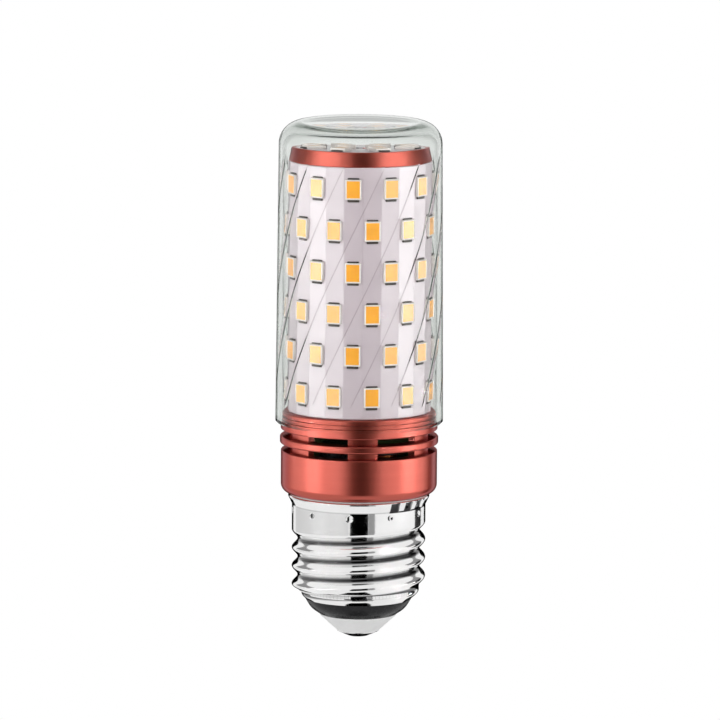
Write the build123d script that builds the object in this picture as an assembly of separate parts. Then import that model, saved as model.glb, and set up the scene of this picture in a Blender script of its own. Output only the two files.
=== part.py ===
from build123d import *
import os
from math import atan, cos, degrees, radians, sin

# LED corn bulb on a screw cap, in millimetres. +Z runs up the axis from the tip of the centre contact,
# and angles are counted from the front (-Y) towards the right (+X).

# Screw cap: thread, shell, insulator and contact
THREAD_R = 13.1
THREAD_PITCH = 3.629
THREAD_DEPTH = 1.096
THREAD_ROOT_FLAT = 0.9
THREAD_CREST_FLAT = 0.75
THREAD_OVERCUT = 0.15
THREAD_TURNS = 3.55
THREAD_TOP_Z = 21.15
THREAD_TOP_ANGLE = 90.0
RUNOUT_TURNS = 0.4
RUNOUT_RISE = 1.3
SHELL_BOTTOM = 7.6
SHELL_BOTTOM_R = 10.5
SHELL_FOOT_Z = 10.0
SHELL_BORE_R = 11.65
SHELL_BORE_Z = 9.15
SHELL_EDGE = 0.5
SKIRT_BORE_R = 12.7
SKIRT_STEP_Z = 24.0
RIM_BOTTOM = 26.3
RIM_WIDEST_Z = 27.4
RIM_TOP = 28.3
RIM_R = 13.85
RIM_TOP_R = 13.4
DIMPLE_COUNT = 10
DIMPLE_Z = 25.2
DIMPLE_BALL_R = 1.0
DIMPLE_DEPTH = 0.22
DIMPLE_FIRST = -8.0
FLUTE_ANGLES = (31.4, 45.2, 59.0)
FLUTE_R = 1.3
FLUTE_DEPTH = 0.45
INSULATOR_TOP = 10.4
CONE_TOP = 4.4
CONE_TOP_R = 7.5
CONTACT_TOP = 1.05
CONTACT_R = 4.05
CONTACT_FLAT_R = 1.7
CONTACT_BULGE = (3.15, 0.4)
RIVET_R = 1.2
RIVET_HEAD_R = 2.2
RIVET_HEAD_H = 0.9

# Insulating neck between the cap and the collar
NECK_BOTTOM = 12.5
NECK_TOP = 34.0
NECK_R = 11.6
NECK_BORE_R = 10.4
NECK_SKIRT_R = 12.65
NECK_FLANGE_R = 13.4
NECK_FLANGE_H = 0.3
NECK_PLUG_R = 12.9
NECK_NOTCH_W = 1.1
NECK_NOTCH_DEPTH = 0.9
NECK_NOTCH_TOP = 21.0
NECK_NOTCH_ANGLE = -135.0

# Vented collar
COLLAR_BOTTOM = RIM_TOP + NECK_FLANGE_H
COLLAR_R = 15.3
COLLAR_CORNER_R = 1.7
COLLAR_BORE_R = 12.4
FIN_R = 15.5
GROOVE_FLOOR_R = 13.9
GROOVE_BOTTOMS = (37.0, 39.8)
GROOVE_H = 1.35
FIN_EDGE_R = 0.3
GROOVE_EDGE_R = 0.2
VENTS_PER_ROW = 6
VENT_SPAN = 36.0
VENT_FIRST = 33.0
FLANGE_R = 15.35
FLANGE_TOP = 42.45
SPIGOT_R = 15.05
SPIGOT_TOP = 44.9
SPIGOT_CHAMFER = 0.35
LIP_R = 13.0
LIP_BORE_R = 12.1
LIP_H = 1.2
SNAP_ZS = (43.2, 44.05)
SNAP_GROOVE_R = 14.7
SNAP_GROOVE_H = 0.4
SNAP_BEAD_R = 14.9
SNAP_BEAD_H = 0.3

# Clear cover
COVER_TOP = 101.6
COVER_FOOT_R = 16.4
COVER_FOOT_CHAMFER = 0.35
COVER_SHOULDER_R = 15.95
COVER_SHOULDER_ARC = 4.4
COVER_BORE_R = 15.15
COVER_TOP_WALL = 1.2
RIB_COUNT = 12
RIB_LEAD = 200.0
RIB_BOTTOM = 46.0
RIB_TOP = 95.5
RIB_FIRST = -9.0
RIB_H = 0.22
RIB_W = 0.5
RIB_ROOT = 0.2

# LED board tube, top ring and top board
BOARD_FLATS = 24
BOARD_APOTHEM = 13.95
BOARD_T = 0.9
BOARD_TOP = 94.1
SEAM_W = 0.4
SEAM_ANGLE = 77.1
RING_TOP = 97.05
RING_TOP_R = 13.3
RING_BORE_R = 10.8
RING_SPIGOT_R = 13.0
RING_SPIGOT_H = 1.5
TOP_BOARD_R = 12.6
TOP_BOARD_T = 1.0
TOP_BOARD_HOLE_R = 1.8

# LED packages: width round the bulb, height along it, thickness
LED_W = 3.1
LED_H = 3.9
LED_T = 0.65
LED_BORDER = 0.28
PHOSPHOR_T = 0.3
LED_ROWS = 6
LEDS_PER_ROW = 12
LED_TOP_ROW_Z = 89.9
LED_ROW_PITCH = 8.12
LED_FIRST = -5.4
TOP_LED_RINGS = {"inner": (4, 4.7, 45.0), "outer": (8, 9.7, 22.5)}

# Driver board and what is soldered to it
DRIVER_W = 21.4
DRIVER_T = 1.2
DRIVER_BOTTOM = 14.0
DRIVER_TOP = 42.5
DRIVER_SLOT_W = 1.3
CAPACITOR_R = 3.5
CAPACITOR_X = -4.3
CAPACITOR_BOTTOM = 25.0
CAPACITOR_L = 14.0
CAPACITOR_ROLL_Z = 1.8
CAPACITOR_ROLL = 0.4
CHOKE_R = 3.6
CHOKE_X = 4.4
CHOKE_BOTTOM = 30.0
CHOKE_L = 8.0
CHOKE_FLANGE_H = 1.0
CHOKE_POST_R = 1.6
WINDING_R = 3.1
FUSE_R = 1.5
FUSE_L = 8.0
FUSE_Z = 20.0
RECTIFIER_SIZE = (4.7, 2.5, 3.9)
RECTIFIER_XZ = (3.5, 21.0)
RECTIFIER_LEADS = 2
CHIP_SIZE = (4.9, 1.5, 3.9)
CHIP_XZ = (-4.0, 32.0)
CHIP_LEADS = 4
LEAD_SIZE = (0.5, 0.5, 0.9)
WIRE_R = 0.45
WIRE_BEND_R = 1.0
NEUTRAL_X = -7.0
NEUTRAL_TOP = 18.0
LIVE_BEND_Z = 15.0
FEED_ANGLES = {"red": 39.6, "black": -35.4}
FEED_HOLE_X = {"red": 0.8, "black": -0.8}
FEED_START_Z = 39.5
FEED_BEND_Z = 46.0
FEED_REACH_Z = 52.0
FEED_END_Z = 56.0

# How far a turning tool runs past the metal that it cuts
TOOL_OVERRUN = 1.0


def outline(*corners):
    """A closed outline of straight lines through (radius, height) corners."""
    return Polyline(*corners, close=True)


def turned(lines, arc=360.0):
    """A solid of revolution about the axis, from a closed outline drawn as (radius, height)."""
    return revolve(make_face(Plane.XZ * lines), Axis.Z, revolution_arc=arc)


def ring(inner_r, outer_r, bottom, top, arc=360.0):
    return turned(outline((inner_r, bottom), (outer_r, bottom), (outer_r, top), (inner_r, top)), arc)


def circle_edge(piece, radius, height):
    """The round edge of a turned piece at a radius and a height."""
    circles = piece.edges().filter_by(GeomType.CIRCLE)
    return min(circles, key=lambda edge: abs(edge.radius - radius) + abs(edge.center().Z - height))


def at_angle(angle):
    """Turns what stands at the front to an angle counted from the front towards the right."""
    return Rot(0, 0, angle)


def around(piece, count, first):
    return [at_angle(first + 360.0 * i / count) * piece for i in range(count)]


def helical(corners, pitch, turns, bottom, first, cone_angle=0.0):
    """An axial section of (radius, height) corners, screwed up a right-hand helix from a starting angle."""
    path = Helix(pitch, pitch * turns, corners[0][0], cone_angle=cone_angle)
    section = make_face(outline(*[(r, 0, z) for r, z in corners]))
    start = Pos(0, 0, bottom) * at_angle(first - 90.0)
    return start * sweep(section, path=path, is_frenet=True)


def wire(*points):
    """A round wire along straight runs joined by tangent arcs."""
    path = FilletPolyline(*points, radius=WIRE_BEND_R)
    return sweep(Plane(path @ 0, z_dir=path % 0) * Circle(WIRE_R), path=path)


def cap_shell():
    """Sheet shell: rolled thread that runs out into the skirt, crimp dimples and a fluted, flared rim."""
    rim_foot = (THREAD_R, RIM_BOTTOM)
    rim_edge = (RIM_TOP_R, RIM_TOP)
    shell = turned(
        Polyline(
            rim_edge,
            (SKIRT_BORE_R, RIM_TOP),
            (SKIRT_BORE_R, SKIRT_STEP_Z),
            (SHELL_BORE_R, SKIRT_STEP_Z),
            (SHELL_BORE_R, SHELL_BORE_Z),
            (SHELL_BOTTOM_R, SHELL_BOTTOM + SHELL_EDGE),
            (SHELL_BOTTOM_R, SHELL_BOTTOM),
            (THREAD_R, SHELL_FOOT_Z),
            rim_foot,
        )
        + ThreePointArc(rim_foot, (RIM_R, RIM_WIDEST_Z), rim_edge)
    )
    root_r = THREAD_R - THREAD_DEPTH
    root = THREAD_ROOT_FLAT / 2
    crest = (THREAD_PITCH - THREAD_CREST_FLAT) / 2
    mouth_r = THREAD_R + THREAD_OVERCUT
    mouth = root + (crest - root) * (mouth_r - root_r) / THREAD_DEPTH
    outside_r = mouth_r + THREAD_DEPTH
    groove = [
        (root_r, -root),
        (mouth_r, -mouth),
        (outside_r, -mouth),
        (outside_r, mouth),
        (mouth_r, mouth),
        (root_r, root),
    ]
    bottom = THREAD_TOP_Z - THREAD_TURNS * THREAD_PITCH
    first = THREAD_TOP_ANGLE - THREAD_TURNS * 360.0
    runout_angle = degrees(atan(RUNOUT_RISE / (RUNOUT_TURNS * THREAD_PITCH)))
    shell -= helical(groove, THREAD_PITCH, THREAD_TURNS, bottom, first)
    shell -= helical(groove, THREAD_PITCH, RUNOUT_TURNS, THREAD_TOP_Z, THREAD_TOP_ANGLE, runout_angle)
    ball = Pos(0, -(THREAD_R + DIMPLE_BALL_R - DIMPLE_DEPTH), DIMPLE_Z) * Sphere(DIMPLE_BALL_R)
    flute_h = RIM_TOP - RIM_BOTTOM
    flute_y = RIM_R + FLUTE_R - FLUTE_DEPTH
    flute = Pos(0, -flute_y, RIM_BOTTOM + flute_h) * Cylinder(FLUTE_R, 2 * flute_h)
    return shell - around(ball, DIMPLE_COUNT, DIMPLE_FIRST) - [at_angle(a) * flute for a in FLUTE_ANGLES]


def cap_insulator():
    """Black cone moulded into the shell's foot, with a hole for the contact's rivet."""
    return turned(outline(
        (RIVET_R, CONE_TOP),
        (CONE_TOP_R, CONE_TOP),
        (SHELL_BOTTOM_R, SHELL_BOTTOM),
        (SHELL_BOTTOM_R, SHELL_BOTTOM + SHELL_EDGE),
        (SHELL_BORE_R, SHELL_BORE_Z),
        (SHELL_BORE_R, INSULATOR_TOP),
        (RIVET_R, INSULATOR_TOP),
    ))


def contact_cone():
    """Pale cone that carries the insulator's taper on down to the contact."""
    return turned(outline(
        (RIVET_R, CONTACT_TOP),
        (CONTACT_R, CONTACT_TOP),
        (CONE_TOP_R, CONE_TOP),
        (RIVET_R, CONE_TOP),
    ))


def centre_contact():
    """Contact with a domed head under the cone and a shank that is riveted over the insulator."""
    edge = (CONTACT_R, CONTACT_TOP)
    flat = (CONTACT_FLAT_R, 0)
    rivet_top = INSULATOR_TOP + RIVET_HEAD_H
    return turned(
        Polyline(
            edge,
            (RIVET_R, CONTACT_TOP),
            (RIVET_R, INSULATOR_TOP),
            (RIVET_HEAD_R, INSULATOR_TOP),
            (RIVET_HEAD_R, rivet_top),
            (0, rivet_top),
            (0, 0),
            flat,
        )
        + ThreePointArc(flat, CONTACT_BULGE, edge)
    )


def insulating_neck():
    """Bush that the shell is crimped on, pressed into the collar, with slots for the driver board."""
    neck = turned(outline(
        (NECK_BORE_R, NECK_BOTTOM),
        (NECK_R, NECK_BOTTOM),
        (NECK_R, SKIRT_STEP_Z),
        (NECK_SKIRT_R, SKIRT_STEP_Z),
        (NECK_SKIRT_R, RIM_TOP),
        (NECK_FLANGE_R, RIM_TOP),
        (NECK_FLANGE_R, COLLAR_BOTTOM),
        (NECK_PLUG_R, COLLAR_BOTTOM),
        (NECK_PLUG_R, NECK_TOP),
        (NECK_BORE_R, NECK_TOP),
    ))
    slot_h = NECK_TOP - DRIVER_BOTTOM
    slots = Pos(0, 0, DRIVER_BOTTOM + slot_h / 2) * Box(DRIVER_W, DRIVER_SLOT_W, slot_h)
    notch_h = NECK_NOTCH_TOP - NECK_BOTTOM
    notch = Pos(0, -NECK_R, NECK_BOTTOM + notch_h / 2) * Box(NECK_NOTCH_W, 2 * NECK_NOTCH_DEPTH, notch_h)
    return neck - slots - at_angle(NECK_NOTCH_ANGLE) * notch


def vent_collar():
    """Turned collar: plain body, two grooves with vent windows, flange, and a spigot with snap grooves."""
    lower, upper = GROOVE_BOTTOMS
    collar = turned(outline(
        (NECK_PLUG_R, COLLAR_BOTTOM),
        (COLLAR_R, COLLAR_BOTTOM),
        (COLLAR_R, lower),
        (GROOVE_FLOOR_R, lower),
        (GROOVE_FLOOR_R, lower + GROOVE_H),
        (FIN_R, lower + GROOVE_H),
        (FIN_R, upper),
        (GROOVE_FLOOR_R, upper),
        (GROOVE_FLOOR_R, upper + GROOVE_H),
        (FLANGE_R, upper + GROOVE_H),
        (FLANGE_R, FLANGE_TOP),
        (SPIGOT_R, FLANGE_TOP),
        (SPIGOT_R, SPIGOT_TOP - SPIGOT_CHAMFER),
        (SPIGOT_R - SPIGOT_CHAMFER, SPIGOT_TOP),
        (LIP_R, SPIGOT_TOP),
        (LIP_R, SPIGOT_TOP + LIP_H),
        (LIP_BORE_R, SPIGOT_TOP + LIP_H),
        (LIP_BORE_R, FLANGE_TOP),
        (COLLAR_BORE_R, FLANGE_TOP),
        (COLLAR_BORE_R, NECK_TOP),
        (NECK_PLUG_R, NECK_TOP),
    ))
    rounded_edges = (
        (COLLAR_R, COLLAR_BOTTOM, COLLAR_CORNER_R),
        (COLLAR_R, lower, GROOVE_EDGE_R),
        (FIN_R, lower + GROOVE_H, FIN_EDGE_R),
        (FIN_R, upper, FIN_EDGE_R),
        (FLANGE_R, upper + GROOVE_H, GROOVE_EDGE_R),
    )
    for radius, height, bend in rounded_edges:
        collar = fillet(circle_edge(collar, radius, height), bend)
    for bottom in GROOVE_BOTTOMS:
        window = ring(LIP_BORE_R, FIN_R, bottom, bottom + GROOVE_H, VENT_SPAN)
        collar -= around(window, VENTS_PER_ROW, VENT_FIRST - 90.0 - VENT_SPAN / 2)
    for middle in SNAP_ZS:
        low = middle - SNAP_GROOVE_H / 2
        collar -= ring(SNAP_GROOVE_R, SPIGOT_R + TOOL_OVERRUN, low, low + SNAP_GROOVE_H)
    return collar


def clear_cover():
    """Drafted clear cup with a round shoulder, snap beads at its mouth and twelve swirl ribs inside."""
    shoulder_z = COVER_TOP - COVER_SHOULDER_ARC
    flat_r = COVER_SHOULDER_R - COVER_SHOULDER_ARC
    inner_arc = COVER_BORE_R - flat_r
    inner_top = COVER_TOP - COVER_TOP_WALL
    inner_shoulder_z = inner_top - inner_arc
    cover = turned(
        Polyline(
            (COVER_BORE_R, inner_shoulder_z),
            (COVER_BORE_R, FLANGE_TOP),
            (COVER_FOOT_R - COVER_FOOT_CHAMFER, FLANGE_TOP),
            (COVER_FOOT_R, FLANGE_TOP + COVER_FOOT_CHAMFER),
            (COVER_SHOULDER_R, shoulder_z),
        )
        + CenterArc((flat_r, shoulder_z), COVER_SHOULDER_ARC, 0, 90)
        + Polyline((flat_r, COVER_TOP), (0, COVER_TOP), (0, inner_top), (flat_r, inner_top))
        + CenterArc((flat_r, inner_shoulder_z), inner_arc, 0, 90)
    )
    wall_r = COVER_BORE_R + RIB_ROOT
    half = SNAP_BEAD_H / 2
    for middle in SNAP_ZS:
        cover += turned(outline(
            (wall_r, middle - half),
            (COVER_BORE_R, middle - half),
            (SNAP_BEAD_R, middle),
            (COVER_BORE_R, middle + half),
            (wall_r, middle + half),
        ))
    rib = [(COVER_BORE_R - RIB_H, 0), (wall_r, RIB_W), (wall_r, -RIB_W)]
    swirl = helical(rib, RIB_LEAD, (RIB_TOP - RIB_BOTTOM) / RIB_LEAD, RIB_BOTTOM, 0.0)
    return cover + around(swirl, RIB_COUNT, RIB_FIRST)


def side_board():
    """White board folded into a tube of flats, one for each column of LEDs, with a seam at one fold."""
    height = BOARD_TOP - SPIGOT_TOP
    turn = at_angle(LED_FIRST - 90.0)
    outside = RegularPolygon(BOARD_APOTHEM, BOARD_FLATS, major_radius=False)
    inside = RegularPolygon(BOARD_APOTHEM - BOARD_T, BOARD_FLATS, major_radius=False)
    flats = turn * at_angle(180.0 / BOARD_FLATS) * (outside - inside)
    seam = at_angle(SEAM_ANGLE) * Pos(0, -BOARD_APOTHEM) * Rectangle(SEAM_W, 4 * BOARD_T)
    return Pos(0, 0, SPIGOT_TOP) * extrude(flats - seam, height)


def led_package():
    """An LED's white body, standing on the XZ plane and facing the front, with a pocket for its phosphor."""
    return Pos(0, -LED_T / 2, 0) * Box(LED_W, LED_T, LED_H) - led_phosphor()


def led_phosphor():
    pad = Box(LED_W - 2 * LED_BORDER, PHOSPHOR_T, LED_H - 2 * LED_BORDER)
    return Pos(0, -LED_T + PHOSPHOR_T / 2, 0) * pad


def side_leds(row, piece):
    """One row of LEDs round the board tube. Every second row is shifted by half a step."""
    step = 360.0 / LEDS_PER_ROW
    first = LED_FIRST + (row % 2) * step / 2
    seated = Pos(0, -BOARD_APOTHEM, LED_TOP_ROW_Z - row * LED_ROW_PITCH) * piece
    return around(seated, LEDS_PER_ROW, first)


def top_leds(count, radius, first, piece):
    """One ring of LEDs on the top board, facing up."""
    seated = Pos(0, -radius, RING_TOP) * Rot(-90, 0, 0) * piece
    return around(seated, count, first)


def top_ring():
    """Tapered ring on the board tube's end, with a spigot inside the tube and a seat for the top board."""
    seat = RING_TOP - TOP_BOARD_T
    return turned(outline(
        (RING_BORE_R, BOARD_TOP - RING_SPIGOT_H),
        (RING_SPIGOT_R, BOARD_TOP - RING_SPIGOT_H),
        (RING_SPIGOT_R, BOARD_TOP),
        (BOARD_APOTHEM, BOARD_TOP),
        (RING_TOP_R, RING_TOP),
        (TOP_BOARD_R, RING_TOP),
        (TOP_BOARD_R, seat),
        (RING_BORE_R, seat),
    ))


def top_board():
    return ring(TOP_BOARD_HOLE_R, TOP_BOARD_R, RING_TOP - TOP_BOARD_T, RING_TOP)


def driver_board():
    height = DRIVER_TOP - DRIVER_BOTTOM
    return Pos(0, 0, DRIVER_BOTTOM + height / 2) * Box(DRIVER_W, DRIVER_T, height)


def filter_capacitor():
    """Round can that stands along the driver board's front, rolled in near its foot and chamfered on top."""
    can = turned(outline(
        (0, 0),
        (CAPACITOR_R, 0),
        (CAPACITOR_R, CAPACITOR_ROLL_Z - CAPACITOR_ROLL),
        (CAPACITOR_R - CAPACITOR_ROLL, CAPACITOR_ROLL_Z),
        (CAPACITOR_R, CAPACITOR_ROLL_Z + CAPACITOR_ROLL),
        (CAPACITOR_R, CAPACITOR_L - CAPACITOR_ROLL),
        (CAPACITOR_R - CAPACITOR_ROLL, CAPACITOR_L),
        (0, CAPACITOR_L),
    ))
    return Pos(CAPACITOR_X, -DRIVER_T / 2 - CAPACITOR_R, CAPACITOR_BOTTOM) * can


def choke_core():
    """Ferrite drum that stands against the driver board: a post between two flanges."""
    post_top = CHOKE_L - CHOKE_FLANGE_H
    drum = turned(outline(
        (0, 0),
        (CHOKE_R, 0),
        (CHOKE_R, CHOKE_FLANGE_H),
        (CHOKE_POST_R, CHOKE_FLANGE_H),
        (CHOKE_POST_R, post_top),
        (CHOKE_R, post_top),
        (CHOKE_R, CHOKE_L),
        (0, CHOKE_L),
    ))
    return Pos(CHOKE_X, -DRIVER_T / 2 - CHOKE_R, CHOKE_BOTTOM) * drum


def choke_winding():
    coil = ring(CHOKE_POST_R, WINDING_R, CHOKE_FLANGE_H, CHOKE_L - CHOKE_FLANGE_H)
    return Pos(CHOKE_X, -DRIVER_T / 2 - CHOKE_R, CHOKE_BOTTOM) * coil


def fuse_resistor():
    return Pos(0, -DRIVER_T / 2 - FUSE_R, FUSE_Z) * Rot(0, 90, 0) * Cylinder(FUSE_R, FUSE_L)


def moulded_chip(size, place, leads):
    """A moulded component on the driver board's back face, with a row of leads on each side."""
    width, depth, height = size
    x, z = place
    lead_w, lead_t, lead_l = LEAD_SIZE
    pitch = width / leads
    chip = Pos(0, depth / 2, 0) * Box(width, depth, height)
    for i in range(leads):
        lead_x = (i - (leads - 1) / 2) * pitch
        chip += Pos(lead_x, lead_t / 2, 0) * Box(lead_w, lead_t, height + 2 * lead_l)
    return Pos(x, DRIVER_T / 2, z) * chip


def live_wire():
    """From the contact's riveted end up along the driver board's front face."""
    x = RIVET_R
    y = -DRIVER_T / 2 - WIRE_R
    bottom = INSULATOR_TOP + RIVET_HEAD_H
    return wire((x, y, bottom), (x, y, LIVE_BEND_Z), (FUSE_L / 2, y, FUSE_Z - 2 * FUSE_R))


def neutral_wire():
    """From the driver board's back face out under the neck and up its notch, against the shell."""
    back = DRIVER_T / 2 + WIRE_R
    reach = SHELL_BORE_R - WIRE_R
    side_x = reach * sin(radians(NECK_NOTCH_ANGLE))
    side_y = -reach * cos(radians(NECK_NOTCH_ANGLE))
    under = NECK_BOTTOM - WIRE_BEND_R
    return wire(
        (NEUTRAL_X, back, NEUTRAL_TOP),
        (NEUTRAL_X, back, under),
        (side_x, side_y, under),
        (side_x, side_y, NECK_NOTCH_TOP),
    )


def feed_wires(colour):
    """From the driver board's front to the side board's inner face, and from its back to the top board."""
    face = DRIVER_T / 2 + WIRE_R
    reach = BOARD_APOTHEM - BOARD_T - WIRE_R
    angle = FEED_ANGLES[colour]
    start = face / cos(radians(angle))
    to_side = wire(
        (0, -start, FEED_START_Z),
        (0, -start, FEED_BEND_Z),
        (0, -reach, FEED_REACH_Z),
        (0, -reach, FEED_END_Z),
    )
    length = RING_TOP - FEED_START_Z
    to_top = Pos(FEED_HOLE_X[colour], face, FEED_START_Z + length / 2) * Cylinder(WIRE_R, length)
    return [at_angle(angle) * to_side, to_top]


nodes = {
    "clear_cover": clear_cover(),
    "vent_collar": vent_collar(),
    "cap_shell": cap_shell(),
    "cap_insulator": cap_insulator(),
    "contact_cone": contact_cone(),
    "centre_contact": centre_contact(),
    "insulating_neck": insulating_neck(),
    "side_board": side_board(),
    "top_ring": top_ring(),
    "top_board": top_board(),
    "driver_board": driver_board(),
    "filter_capacitor": filter_capacitor(),
    "choke_core": choke_core(),
    "choke_winding": choke_winding(),
    "fuse_resistor": fuse_resistor(),
    "bridge_rectifier": moulded_chip(RECTIFIER_SIZE, RECTIFIER_XZ, RECTIFIER_LEADS),
    "driver_chip": moulded_chip(CHIP_SIZE, CHIP_XZ, CHIP_LEADS),
    "live_wire": live_wire(),
    "neutral_wire": neutral_wire(),
    "red_feed_wires": Compound(feed_wires("red")),
    "black_feed_wires": Compound(feed_wires("black")),
}
for row in range(LED_ROWS):
    nodes[f"led_row_{row + 1}_packages"] = Compound(side_leds(row, led_package()))
    nodes[f"led_row_{row + 1}_phosphor"] = Compound(side_leds(row, led_phosphor()))
for name, (count, radius, first) in TOP_LED_RINGS.items():
    nodes[f"top_{name}_led_packages"] = Compound(top_leds(count, radius, first, led_package()))
    nodes[f"top_{name}_led_phosphor"] = Compound(top_leds(count, radius, first, led_phosphor()))

os.makedirs("parts", exist_ok=True)
for name, piece in nodes.items():
    export_step(piece, f"parts/{name}.step")
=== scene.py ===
from functools import partial
from math import atan2, cos, pi, radians, sin, tan

import bmesh
import bpy
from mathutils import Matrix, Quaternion, Vector


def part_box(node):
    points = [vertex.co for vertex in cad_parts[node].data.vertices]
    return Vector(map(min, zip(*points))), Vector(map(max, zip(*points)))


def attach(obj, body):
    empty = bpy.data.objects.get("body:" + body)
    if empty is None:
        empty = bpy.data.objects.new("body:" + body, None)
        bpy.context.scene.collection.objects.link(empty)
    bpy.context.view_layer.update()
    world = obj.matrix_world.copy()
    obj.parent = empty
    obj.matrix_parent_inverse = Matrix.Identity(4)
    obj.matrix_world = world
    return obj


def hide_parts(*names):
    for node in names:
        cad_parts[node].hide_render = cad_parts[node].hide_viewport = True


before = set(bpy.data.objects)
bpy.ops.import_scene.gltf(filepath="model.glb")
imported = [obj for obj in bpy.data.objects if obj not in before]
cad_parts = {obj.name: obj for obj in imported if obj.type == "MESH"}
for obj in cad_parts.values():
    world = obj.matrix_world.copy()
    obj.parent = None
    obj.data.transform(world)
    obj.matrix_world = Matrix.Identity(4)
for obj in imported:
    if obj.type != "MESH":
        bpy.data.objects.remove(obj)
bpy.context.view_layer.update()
scene = bpy.context.scene

# Centre contact: a nickel-plated rivet with a domed head, the tip that meets the holder's spring.
# Its shank goes up through both insulators and is spread over the upper one, inside the cap.
MM = 0.001
TURN_STEPS = 192
ARC_STEPS = 6
HOLD = 0.02 * MM
MERGE = 0.0005 * MM
CREASE = radians(32)
CONTACT_FLAT_R = 1.9 * MM
CONTACT_BEND = 0.4 * MM
CONTACT_LIP = 0.12 * MM
SHANK_R = 1.2 * MM
SHANK_HEAD_R = 2.2 * MM
SHANK_HEAD_BEND = 0.35 * MM
NOISE_DETAIL = 3.0
NOISE_MIDDLE = (0.3, 0.7)
BROADER = 8
# The mark of painted shade on the shell's mesh, the levels where it darkens the nickel, and the
# shade's tone.
SHADE_MARK = "groove"
SHADE_LEVELS = (0.62, 0.92)
PAINTED_SHADE_TONE = (0.035, 0.035, 0.036)


def rounded(corners):
    """The points of a closed outline of (radius, height, rounding) corners.

    Each rounding is an arc, and a point close beside it keeps the shading of a long side even.
    """
    places = [Vector((radius, height)) for radius, height, _ in corners]
    count = len(places)
    sides = []
    for i, place in enumerate(places):
        sides.append((places[i - 1] - place, places[(i + 1) % count] - place))
    setbacks = [bend / tan(a.angle(b) / 2) for (_, _, bend), (a, b) in zip(corners, sides)]
    points = []
    for i, (corner, (back, ahead)) in enumerate(zip(places, sides)):
        bend = corners[i][2]
        if bend == 0:
            points.append(corner)
            continue
        before, after = back.normalized(), ahead.normalized()
        centre = corner + (before + after).normalized() * bend / sin(before.angle(after) / 2)
        start = (corner + before * setbacks[i] - centre).normalized()
        end = (corner + after * setbacks[i] - centre).normalized()
        if back.length - setbacks[i] - setbacks[i - 1] > 3 * HOLD:
            points.append(corner + before * (setbacks[i] + HOLD))
        for k in range(ARC_STEPS + 1):
            points.append(centre + start.slerp(end, k / ARC_STEPS) * bend)
        if ahead.length - setbacks[i] - setbacks[(i + 1) % count] > 3 * HOLD:
            points.append(corner + after * (setbacks[i] + HOLD))
    return points


def on_circle(radius, angle, height):
    """A point at an angle that is counted from the front towards the right."""
    return radius * sin(angle), -radius * cos(angle), height


def placed(name, data):
    """A new object of the scene, at the origin."""
    thing = bpy.data.objects.new(name, data)
    scene.collection.objects.link(thing)
    return thing


def piece_from(name, fill):
    """A new object with smooth faces, sharp creases and the mesh that fill makes."""
    grid = bmesh.new()
    fill(grid)
    bmesh.ops.remove_doubles(grid, verts=grid.verts, dist=MERGE)
    bmesh.ops.recalc_face_normals(grid, faces=grid.faces)
    mesh = bpy.data.meshes.new(name)
    grid.to_mesh(mesh)
    grid.free()
    mesh.shade_smooth()
    mesh.set_sharp_from_angle(angle=CREASE)
    return placed(name, mesh)


def loft(grid, rows, closed=True):
    """Joins rows of points, each a closed loop of the same length, into a skin."""
    loops = [[grid.verts.new(point) for point in row] for row in rows]
    for i in range(len(loops) if closed else len(loops) - 1):
        lower, upper = loops[i], loops[(i + 1) % len(loops)]
        for k in range(len(lower)):
            following = (k + 1) % len(lower)
            grid.faces.new((lower[k], lower[following], upper[following], upper[k]))
    return loops


def turned(name, *outlines):
    """A piece turned on the bulb's axis, from one closed outline or more."""
    angles = [2 * pi * k / TURN_STEPS for k in range(TURN_STEPS)]

    def fill(grid):
        for corners in outlines:
            loft(grid, [[on_circle(r, a, z) for a in angles] for r, z in rounded(corners)])

    return piece_from(name, fill)


def added(tree, kind, **values):
    """A new node, with its inputs linked or set by name."""
    node = tree.nodes.new(kind)
    for label, value in values.items():
        socket = node.inputs[label.replace("_", " ")]
        if isinstance(value, bpy.types.NodeSocket):
            tree.links.new(value, socket)
        else:
            socket.default_value = value
    return node


def noise(tree, scale, stretch=(1.0, 1.0, 1.0)):
    """Noise over the piece's own coordinates, in lumps per metre, stretched along its axes."""
    own = added(tree, "ShaderNodeTexCoord").outputs["Object"]
    place = added(tree, "ShaderNodeMapping", Vector=own, Scale=stretch).outputs[0]
    lumps = added(tree, "ShaderNodeTexNoise", Vector=place, Scale=scale, Detail=NOISE_DETAIL)
    return lumps.outputs["Fac"]


def ranged(tree, source, near, far, low=0.0, high=1.0, smooth=False):
    """Takes a value from one range over to another."""
    node = added(tree, "ShaderNodeMapRange", Value=source, From_Min=near, From_Max=far)
    node.inputs["To Min"].default_value = low
    node.inputs["To Max"].default_value = high
    if smooth:
        node.interpolation_type = "SMOOTHSTEP"
    return node.outputs["Result"]


def spread(tree, source, low, high):
    """Stretches the middle of a noise to a range of values."""
    return ranged(tree, source, *NOISE_MIDDLE, low, high)


def mixed(tree, share, one, other):
    """One colour going over to another."""
    node = tree.nodes.new("ShaderNodeMix")
    node.data_type = "RGBA"
    tree.links.new(share, node.inputs["Factor"])
    for socket, colour in ((node.inputs["A"], one), (node.inputs["B"], other)):
        if isinstance(colour, bpy.types.NodeSocket):
            tree.links.new(colour, socket)
        else:
            socket.default_value = (*colour, 1.0)
    return node.outputs["Result"]


def new_material(name):
    """A material with the plain shader."""
    material = bpy.data.materials.new(name)
    material.use_nodes = True
    return material


def shader_of(material):
    """The main shader of a material."""
    return material.node_tree.nodes["Principled BSDF"]


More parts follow.
